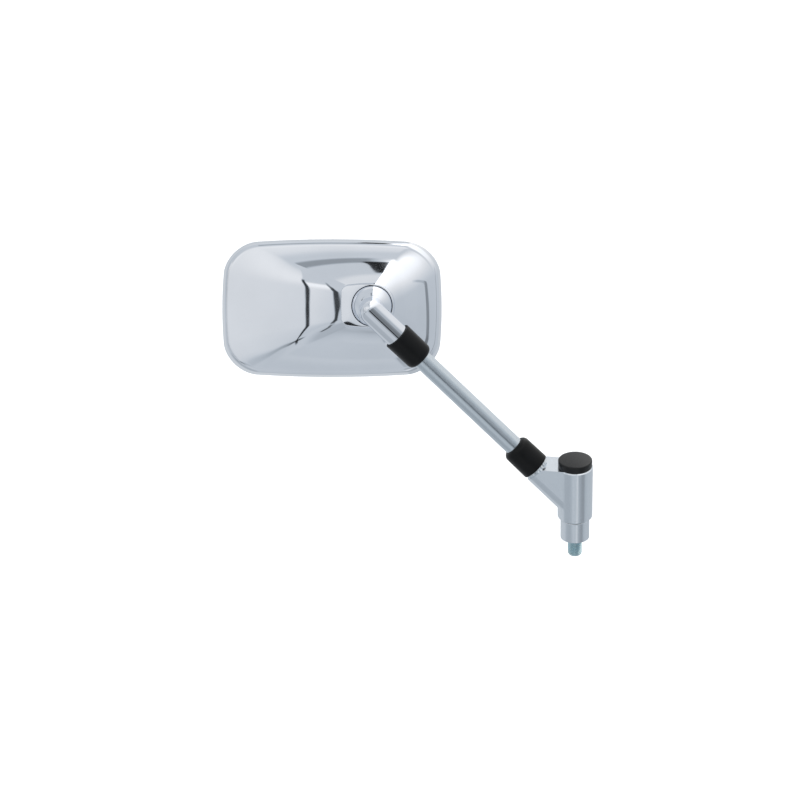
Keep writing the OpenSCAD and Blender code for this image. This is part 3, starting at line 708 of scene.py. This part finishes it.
class MIRROR_OT_neck(bpy.types.Operator):
    """Chromed elbow that ends in the ball"""
    bl_idname = "mirror.neck"
    bl_label = "Build Neck"

    def execute(self, context):
        n = sizes("mirror_neck")
        foot = STEM_FOOT + STEM_DIR * stem_span("neck")[0]
        # The neck turns towards the ball where the stem's axis is level with it in x
        corner = STEM_FOOT + STEM_DIR * ((BALL - STEM_FOOT).x / STEM_DIR.x)
        out = (BALL - corner).normalized()
        turn = STEM_DIR.angle(out)
        side = STEM_DIR.cross(out).normalized()
        outward = STEM_DIR.cross(side)
        middle = Matrix.Rotation(turn / 2, 3, side) @ outward
        beyond = Matrix.Rotation(turn, 3, side) @ outward
        count, bend_steps, chamfer, spread = 96, 36, 0.001, 0.96
        turns = [math.tau * i / count for i in range(count)]

        def ring(place, first, radius):
            """Ring of points about a place, from the side that first points to."""
            return [place + (first * math.cos(a) + side * math.sin(a)) * radius for a in turns]

        def elbow(a, theta):
            """Point of the elbow at an angle round the neck and an angle of the bend."""
            off = n.radius * math.cos(a)
            bend = n.bend * (1 + spread * off / n.radius)
            hub = corner + middle * ((off - bend) / math.cos(turn / 2))
            return hub + Matrix.Rotation(theta, 3, side) @ outward * bend + side * n.radius * math.sin(a)

        def collar(radius, height):
            """Ring about the ball's axis, a height below the ball's centre."""
            return ring(BALL - out * height, beyond, radius)

        def between(first, last, steps):
            """Rings from one to another, the first left out."""
            return [[p.lerp(q, i / steps) for p, q in zip(first, last)] for i in range(1, steps + 1)]

        rings = [ring(foot, outward, n.radius - chamfer),
                 ring(foot + STEM_DIR * chamfer, outward, n.radius)]
        rings += between(rings[-1], [elbow(a, 0) for a in turns], 10)
        rings += [[elbow(a, turn * i / bend_steps) for a in turns] for i in range(1, bend_steps + 1)]
        reach = math.sqrt((n.ball + n.cove) ** 2 - (n.radius + n.cove) ** 2)
        rings += between(rings[-1], collar(n.radius, reach), 8)
        start = math.degrees(math.asin((n.radius + n.cove) / (n.ball + n.cove)))
        rings += [collar(r, h) for r, h in arc(n.radius + n.cove, reach, n.cove, 180, 270 - start, 8)[1:]]
        rings += [collar(r, h) for h, r in arc(0, 0, n.ball, start, 179, 72)[1:]]
        add_piece("neck_casting", loft(rings), "elbow", "chrome", ["neck"], sharp=50)
        return {"FINISHED"}


class MIRROR_OT_boots(bpy.types.Operator):
    """Rubber boots over the lock nuts"""
    bl_idname = "mirror.boots"
    bl_label = "Build Boots"

    def execute(self, context):
        s = sizes("mirror_stem")
        lead, edge, steps = 0.0006, 0.0005, 10
        for node, flip in (("lower_boot", False), ("upper_boot", True)):
            low, high = stem_span(node)
            size = high - low
            top = size - s.boot_edge
            profile = [(s.boot_bore, lead), (s.boot_bore + 0.4 * edge, 0.2 * edge), (s.boot_bore + edge, 0)]
            profile += arc(s.boot_mouth - edge, edge, edge, -90, 0, 5)
            profile += [(s.boot_mouth + (s.boot_tail - s.boot_mouth) * i / steps,
                         edge + (top - edge) * i / steps) for i in range(1, steps)]
            profile += arc(s.boot_tail - s.boot_edge, top, s.boot_edge, 0, 63, 14)
            profile += arc(s.tube + s.boot_lip, size, s.boot_lip, -50, -165, 8)
            profile += [(s.tube, size - s.boot_lip * 0.6), (s.tube, size - s.boot_end),
                        (s.boot_bore - edge, size - s.boot_end), (s.boot_bore, size - s.boot_end - edge),
                        (s.boot_bore, lead)]
            bm = lathe(profile)
            place = stem_matrix(high) @ Matrix.Scale(-1, 4, (0, 0, 1)) if flip else stem_matrix(low)
            bmesh.ops.transform(bm, matrix=place, verts=bm.verts)
            add_piece(node.replace("boot", "rubber_boot"), bm, "stem", "boot_rubber", [node])
        return {"FINISHED"}


class MIRROR_OT_stem(bpy.types.Operator):
    """Satin tube and the toothed lock nuts"""
    bl_idname = "mirror.stem"
    bl_label = "Build Stem"

    def execute(self, context):
        s = sizes("mirror_stem")
        low, high = stem_span("stem_tube")
        inner = s.tube - s.tube_wall
        bevel, steps = 0.0003, 24
        profile = [(inner, low), (s.tube - bevel, low)]
        profile += [(s.tube, low + bevel + (high - low - 2 * bevel) * i / steps) for i in range(steps + 1)]
        profile += [(s.tube - bevel, high), (inner, high), (inner, low)]
        bm = lathe(profile)
        bmesh.ops.transform(bm, matrix=stem_matrix(0), verts=bm.verts)
        add_piece("satin_tube", bm, "stem", "tube_steel", ["stem_tube"])
        for node in ("lower_lock_nut", "upper_lock_nut"):
            add_piece(node + "_part", softened(node, s.nut_edge, 1), "stem", "zinc", [node],
                      finish="bright", flat=True)
        return {"FINISHED"}


class MIRROR_OT_base(bpy.types.Operator):
    """Cast arm, nose, cap and threaded stud"""
    bl_idname = "mirror.base"
    bl_label = "Build Base"

    def execute(self, context):
        b = sizes("mirror_base")
        add_piece("arm_body", softened("arm_casting", b.cast_edge, 3), "arm", "casting", ["arm_casting"],
                  flat=True)
        self.nose(b)
        self.cap(b)
        self.stud(b)
        return {"FINISHED"}

    def nose(self, b):
        """Nose and post in one; the chamfer at the nose's foot gives way to a wide rounding."""
        low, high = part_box("pivot_adapter")
        radius, chamfer, near = high.x, 0.001, 1e-5
        bm = node_copy("pivot_adapter")
        for v in bm.verts:
            r = math.hypot(v.co.x, v.co.y)
            if v.co.z < low.z + chamfer and r > radius - chamfer:
                v.co = Vector((v.co.x * radius / r, v.co.y * radius / r, low.z))
        clean(bm, near)
        foot = {v for v in bm.verts
                if v.co.z < low.z + near and math.hypot(v.co.x, v.co.y) > radius - 10 * near}
        round_edges(bm, [e for e in bm.edges if foot.issuperset(e.verts)], b.nose_edge, 8)
        add_piece("pivot_nose", bm, "mount", "casting", ["pivot_adapter"], flat=True)

    def cap(self, b):
        """Black cap with a softly crowned top and a plug that fits the arm."""
        low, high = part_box("arm_cap")
        seat = high.z - b.cap_height
        high.z += b.cap_rise
        plug, plug_edge, plug_depth = 0.0094, 0.0002, 0.004
        skirt, edge, crown, steps = 0.0003, 0.0007, 0.0004, 8
        profile = [(0, seat - plug_depth), (plug - plug_edge, seat - plug_depth),
                   (plug, seat - plug_depth + plug_edge), (plug, seat)]
        profile += arc(b.cap - skirt, seat + skirt, skirt, -90, 0, 3)
        profile += arc(b.cap - edge, high.z - edge - crown, edge, 0, 84, 10)
        r, z = profile[-1]
        profile += [(r * (1 - i / steps), z + (high.z - z) * (1 - (1 - i / steps) ** 2))
                    for i in range(1, steps + 1)]
        add_piece("pivot_cap", lathe(profile), "arm", "cap_plastic", ["arm_cap"])

    def stud(self, b):
        """Stud with a rolled thread, chamfered at its tip."""
        thread_end, tip, steps, slope = 0.0006, 0.0002, 72, 0.9
        core = b.stud - b.thread_depth
        turns = int((b.stud_length - thread_end) / b.pitch) + 2
        ridge = [(0.0, core), (0.06, core), (0.44, b.stud), (0.56, b.stud), (0.94, core), (1.0, core)]
        bm = bmesh.new()
        verts = [bm.verts.new((r, 0, -b.stud_length - b.pitch + share * b.pitch)) for share, r in ridge]
        edges = [bm.edges.new(pair) for pair in zip(verts, verts[1:])]
        bmesh.ops.spin(bm, geom=verts + edges, cent=(0, 0, 0), axis=(0, 0, 1), angle=math.tau * turns,
                       steps=steps * turns, dvec=(0, 0, b.pitch / steps))
        bmesh.ops.remove_doubles(bm, verts=bm.verts, dist=2e-6)
        for z, up in ((-b.stud_length, -1), (-thread_end, 1)):
            cut = bmesh.ops.bisect_plane(bm, geom=list(bm.verts) + list(bm.edges) + list(bm.faces),
                                         plane_co=(0, 0, z), plane_no=(0, 0, up), clear_outer=True)
            edges = [g for g in cut["geom_cut"] if isinstance(g, bmesh.types.BMEdge)]
            bmesh.ops.edgeloop_fill(bm, edges=edges)
        for v in bm.verts:
            r = math.hypot(v.co.x, v.co.y)
            most = core - tip + max(0.0, v.co.z + b.stud_length) * slope
            if r > most and v.co.z < -b.stud_length + b.thread_depth * 1.95:
                v.co.x *= most / r
                v.co.y *= most / r
        add_piece("threaded_stud", bm, "mount", "zinc", ["mount_stud"], sharp=30)


class MIRROR_OT_inner(bpy.types.Operator):
    """Finishes of the pieces that keep their CAD form"""
    bl_idname = "mirror.inner"
    bl_label = "Finish Inner Pieces"

    def execute(self, context):
        slots = {row["node"]: row["material_slot"] for row in frame["record"]["subparts"]}
        for node, piece in NODES.items():
            if piece.hide_render:
                continue
            piece.data.materials.clear()
            piece.data.materials.append(finish_named(slots[node]))
        return {"FINISHED"}


class Sky(NodeTree):
    """The studio round the object as a function of direction, in degrees.

    az is 0 on the camera's side and 90 on its right, el is the angle above the horizon, over turns from
    0 on the camera's side over 90 straight up, and along is the angle towards the stem's upper end.
    """

    def __init__(self, tree):
        super().__init__(tree)
        direction = self.add("ShaderNodeTexCoord").outputs["Generated"]
        self.x, y, z = self.add("ShaderNodeSeparateXYZ", Vector=direction).outputs
        front = self.times(y, -1.0)
        stemward = self.plus(*[self.times(part, turn) for part, turn in zip((self.x, y, z), STEM_DIR)])
        self.along = self.degrees("ARCSINE", stemward)
        self.az = self.degrees("ARCTAN2", self.x, front)
        self.el = self.degrees("ARCSINE", z)
        self.over = self.degrees("ARCTAN2", z, front)

    def math(self, operation, *values):
        """A Math node."""
        node = self.add("ShaderNodeMath")
        node.operation = operation
        for socket, value in zip(node.inputs, values):
            self.put(socket, value)
        return node.outputs[0]

    def plus(self, first, *others):
        """Sum of values."""
        for other in others:
            first = self.math("ADD", first, other)
        return first

    def times(self, first, *others):
        """Product of values."""
        for other in others:
            first = self.math("MULTIPLY", first, other)
        return first

    def minus(self, first, second):
        """Difference of two values."""
        return self.math("SUBTRACT", first, second)

    def degrees(self, operation, *values):
        """An angle in degrees."""
        return self.math("DEGREES", self.math(operation, *values))

    def soft(self, value, low, high):
        """0 at low, 1 at high, eased between; low may be the larger."""
        node = self.add("ShaderNodeMapRange")
        node.interpolation_type = "SMOOTHSTEP"
        for socket, number in zip(node.inputs, (value, low, high)):
            self.put(socket, number)
        return node.outputs[0]

    def curve(self, value, points, reach=(-90.0, 90.0)):
        """A smooth curve through (input, output) points; reach holds the outputs."""
        first, last = points[0][0], points[-1][0]
        low, high = reach
        share = self.math("DIVIDE", self.minus(value, first), last - first)
        node = self.add("ShaderNodeFloatCurve", Value=share)
        line = node.mapping.curves[0]
        places = [((a - first) / (last - first), (b - low) / (high - low)) for a, b in points]
        line.points[0].location, line.points[1].location = places[0], places[-1]
        for place in places[1:-1]:
            line.points.new(*place)
        node.mapping.update()
        return self.plus(self.times(node.outputs[0], high - low), low)

    def level(self, value, points):
        """A brightness curve."""
        return self.curve(value, points, (0.0, 1.5))

    def window(self, value, low, high, ease):
        """1 between low and high, eased to 0 outside."""
        return self.times(self.soft(value, low - ease, low), self.soft(value, high + ease, high))

    def mix(self, share, first, second):
        """First where share is 0, second where it is 1."""
        return self.plus(first, self.times(share, self.minus(second, first)))

    def seam(self, light, offset, half, ease, depth):
        """Darkens a line where offset is 0."""
        line = self.soft(self.math("ABSOLUTE", offset), half + ease, half)
        return self.times(light, self.minus(1.0, self.times(line, depth)))

    def spot(self, light, az, el, wide, high, ease, depth):
        """Darkens an oval."""
        across = self.math("DIVIDE", self.minus(self.az, az), wide)
        up = self.math("DIVIDE", self.minus(self.el, el), high)
        far = self.math("SQRT", self.plus(self.times(across, across), self.times(up, up)))
        return self.seam(light, far, 1.0, ease, depth)

    def tent(self):
        """Brightness of the tent's sheets, their seams and the gap for the lens."""
        az, el, over, x = self.az, self.el, self.over, self.x
        high = self.times(self.soft(el, 25, 38), self.soft(over, 95, 86))
        right = self.mix(high, self.soft(x, 0.036, 0.075), self.soft(x, 0.08, 0.30))
        light = self.mix(right, self.left_sheets(), self.right_sheets())
        # The roof's seam, then the gap for the lens between the line called point and x = 0.05
        roof = self.times(self.window(x, -0.10, 0.02, 0.02), 0.48)
        light = self.seam(light, self.minus(over, 98), 5.0, 7.0, roof)
        point = self.curve(over, [(90, 0.015), (105, 0.0155), (110, 0.0195), (116, 0.0230), (127, 0.0245),
                                  (137, 0.0255), (150, 0.026)], (0.0, 0.1))
        gap = self.times(self.soft(self.minus(x, point), -0.002, 0.001), 0.97, self.soft(x, 0.056, 0.046))
        light = self.seam(light, self.minus(over, 121), 16.0, 5.0, gap)
        # Two dark ovals on the camera's side
        light = self.spot(light, -2, 25, 4.4, 1.8, 0.35, 0.97)
        light = self.spot(light, 14, 4.5, 3.5, 7, 0.5, 0.90)
        # A dim seam round the stem's axis, a dimmer ground on the right and a paler sheet behind
        dim = self.level(az, [(15, 0.40), (22, 0.58), (30, 0.64), (36, 0.60), (42, 0.50), (47, 0.52),
                              (52, 0.25), (68, 0.28), (78, 0.15), (90, 0.0)])
        dim = self.times(dim, self.window(az, 17, 84, 3))
        light = self.seam(light, self.plus(self.along, 14.0), 1.8, 1.6, dim)
        low = self.level(az, [(-25, 0.65), (-5, 0.63), (5, 0.64), (11, 0.76), (16, 0.78), (21, 0.62),
                              (28, 0.50), (36, 0.45), (46, 0.39), (70, 0.39)])
        under = self.times(self.window(az, -5, 58, 12), self.window(el, -60, -20, 10))
        light = self.mix(under, light, low)
        behind = self.times(self.soft(over, 139, 149), self.window(x, -0.3, 0.3, 0.2), self.soft(el, 5, 18))
        return self.plus(light, self.times(behind, 0.16))

    def right_sheets(self):
        """White roof on the right that falls off to grey below a slanting edge."""
        edge = self.curve(self.az, [(0, 45), (30, 50), (60, 54), (75, 54), (90, 52), (105, 47), (120, 41),
                                    (135, 32), (150, 17), (165, 0), (180, -10)])
        spread = self.curve(self.az, [(0, 18), (30, 22), (60, 36), (90, 54), (120, 56), (150, 45),
                                      (165, 26), (180, 20)])
        lift = self.math("DIVIDE", self.minus(self.el, edge), spread)
        return self.level(lift, [(-4, 0.40), (-2.6, 0.45), (-2.2, 0.50), (-1.5, 0.60), (-1, 0.62),
                                 (-0.6, 0.74), (-0.3, 0.90), (0, 1.12), (0.3, 1.25)])

    def left_sheets(self):
        """Grey sheets on the left with one bright panel, its dark seams and the strip beside it."""
        az, el = self.az, self.el
        left = self.level(el, [(-90, 0.45), (-80, 0.60), (-60, 0.66), (-10, 0.66), (5, 0.62), (30, 0.68),
                               (60, 0.68), (90, 0.70)])
        left = self.spot(left, -50, -50, 26, 22, 0.9, 0.25)
        # The panel lies between sides a and c, the strip between sides b and a
        side_a = self.curve(el, [(-8, -24), (-5.4, -27), (-3.3, -31.5), (1.1, -37.8), (4.5, -41.8),
                                 (7.5, -45), (12, -49.2), (16.4, -52.3), (17.8, -53.4), (19.2, -54.1),
                                 (20.6, -54.9), (23, -55.3), (28, -56.6), (34.3, -58), (44, -59.4), (52, -63),
                                 (90, -75)])
        side_b = self.curve(el, [(-24, -54), (-15, -56), (-8, -59.6), (-3, -62.9), (1.2, -66.2), (5, -69.6),
                                 (7.9, -71.8), (8.5, -72.9), (9.2, -74.0), (10.2, -74.2), (11.6, -74.4),
                                 (15, -75.4), (20, -77), (25.4, -79.5), (32, -83), (41.4, -88.4), (52, -99)])
        side_c = self.curve(el, [(-8, -28), (-5.5, -25.5), (-3, -22.5), (2, -19), (10, -12), (20, -6),
                                 (28, 0), (34, 5), (90, 5)])
        from_a, from_b, from_c = self.minus(az, side_a), self.minus(az, side_b), self.minus(side_c, az)
        strip = self.times(self.soft(from_b, 0, 3), self.soft(from_a, 0, -3), self.window(el, 0, 38, 8))
        beside = self.level(el, [(-8, 0.62), (5, 0.68), (15, 0.78), (25, 0.90), (38, 1.05), (46, 0.70)])
        left = self.mix(strip, left, beside)
        panel = self.level(el, [(-8, 0.66), (0, 0.70), (15, 0.75), (30, 0.81), (45, 0.92), (60, 0.84),
                                (75, 0.68), (90, 0.70)])
        left = self.mix(self.times(self.soft(from_a, 0, 3), self.soft(from_c, 0, 6)), left, panel)
        # The seams: along side a, along side c, along side b and below the strip
        left = self.seam(left, from_a, 0.9, 1.5, self.times(self.window(el, -8, 44, 5), 0.93))
        rising = self.level(el, [(-8, 0.85), (-4, 0.75), (0, 0.40), (8, 0.22), (20, 0.10)])
        left = self.seam(left, from_c, 0.8, 3.0, self.times(self.window(el, -8, 18, 4), rising))
        deep = self.level(el, [(-24, 0.1), (-15, 0.15), (-8, 0.45), (-2, 0.85), (15, 0.90), (30, 0.85),
                               (40, 0.60), (52, 0.35)])
        left = self.seam(left, from_b, 1.2, 1.6, self.times(self.window(el, -16, 46, 6), deep))
        foot = self.curve(az, [(-56, -14), (-53, -16.3), (-50, -20), (-47, -21.5), (-44, -22.5), (-38, -22)])
        below = self.times(self.window(az, -54, -42, 3), 0.72)
        return self.seam(left, self.minus(el, foot), 1.2, 2.2, below)

    def shine(self, light):
        """Gives the background the brightness, bluish where it is dim, and white to the camera."""
        white, bluish = (1, 1, 1, 1), (0.93, 1.0, 1.07, 1)
        lit = self.add("ShaderNodeVectorMath")
        lit.operation = "SCALE"
        self.put(lit.inputs[0], self.colour_mix(self.soft(light, 0.5, 0.95), bluish, white))
        self.put(lit.inputs["Scale"], light)
        seen = self.add("ShaderNodeLightPath").outputs["Is Camera Ray"]
        self.put(self.tree.nodes["Background"].inputs[0], self.colour_mix(seen, lit.outputs[0], white))


class MIRROR_OT_stage(bpy.types.Operator):
    """Floor, light and camera"""
    bl_idname = "mirror.stage"
    bl_label = "Build Stage"

    def execute(self, context):
        studio = sizes("mirror_studio")
        self.camera(context, studio)
        self.floor(studio)
        self.world(context)
        self.lamp(studio)
        context.scene.view_settings.view_transform = "Standard"
        return {"FINISHED"}

    def camera(self, context, studio):
        """Long lens at the photograph's angle."""
        sensor = 36.0
        data = bpy.data.cameras.new("view")
        data.sensor_width = sensor
        data.lens = sensor * studio.distance / studio.field
        data.clip_end = 50
        camera = bpy.data.objects.new("view", data)
        back = Vector((0, -math.cos(studio.elevation), math.sin(studio.elevation)))
        camera.location = Vector((studio.aim_x, studio.aim_y, studio.aim_z)) + back * studio.distance
        camera.rotation_euler = (-back).to_track_quat("-Z", "Y").to_euler()
        context.scene.collection.objects.link(camera)
        context.scene.camera = camera

    def floor(self, studio):
        """Plain pale floor, well below the object, that the metal doesn't show."""
        bm = bmesh.new()
        bmesh.ops.create_grid(bm, x_segments=1, y_segments=1, size=studio.floor_size)
        low = -sizes("mirror_base").stud_length - studio.floor_drop
        bmesh.ops.translate(bm, verts=bm.verts, vec=(0, 0, low))
        mesh = finish_mesh(bm, "floor", flip_check=False)
        floor = bpy.data.objects.new("floor", mesh)
        bpy.context.scene.collection.objects.link(floor)
        floor.visible_glossy = False
        mesh.materials.append(floor_finish())

    def world(self, context):
        """White to the camera; a tent of pale sheets with dark seams to everything else."""
        world = bpy.data.worlds.new("studio")
        world.use_nodes = True
        context.scene.world = world
        sky = Sky(world.node_tree)
        sky.shine(sky.tent())

    def lamp(self, studio):
        """One broad soft light before the object, above it and to its left, not seen in the metal."""
        data = bpy.data.lights.new("soft_light", "AREA")
        data.shape = "SQUARE"
        data.size = studio.lamp_size
        data.energy = studio.lamp_power
        lamp = bpy.data.objects.new("soft_light", data)
        lamp.location = studio.lamp_place
        aim = Vector((studio.aim_x, studio.aim_y, studio.aim_z)) - lamp.location
        lamp.rotation_euler = aim.to_track_quat("-Z", "Y").to_euler()
        lamp.visible_glossy = False
        bpy.context.scene.collection.objects.link(lamp)


OPERATORS = [MIRROR_OT_housing, MIRROR_OT_glass, MIRROR_OT_neck, MIRROR_OT_boots, MIRROR_OT_stem,
             MIRROR_OT_base, MIRROR_OT_inner, MIRROR_OT_stage]


class MIRROR_PT_panel(bpy.types.Panel):
    """Lists the mirror's pieces"""
    bl_label = "Motorcycle Mirror"
    bl_idname = "MIRROR_PT_panel"
    bl_space_type = "VIEW_3D"
    bl_region_type = "UI"
    bl_category = "Mirror"

    def draw(self, context):
        for operator in OPERATORS:
            self.layout.operator(operator.bl_idname)
        for group, kind in GROUPS.items():
            box = self.layout.box()
            box.label(text=kind.__doc__)
            for name in kind.__annotations__:
                box.prop(getattr(context.scene, group), name)


CLASSES = [*GROUPS.values(), *OPERATORS, MIRROR_PT_panel]


def register():
    for kind in CLASSES:
        bpy.utils.register_class(kind)
    for group, kind in GROUPS.items():
        setattr(bpy.types.Scene, group, PointerProperty(type=kind))


def unregister():
    for group in GROUPS:
        delattr(bpy.types.Scene, group)
    for kind in reversed(CLASSES):
        bpy.utils.unregister_class(kind)


def main():
    """Builds every piece."""
    register()
    for operator in OPERATORS:
        family, name = operator.bl_idname.split(".")
        getattr(getattr(bpy.ops, family), name)()


if __name__ == "__main__":
    main()
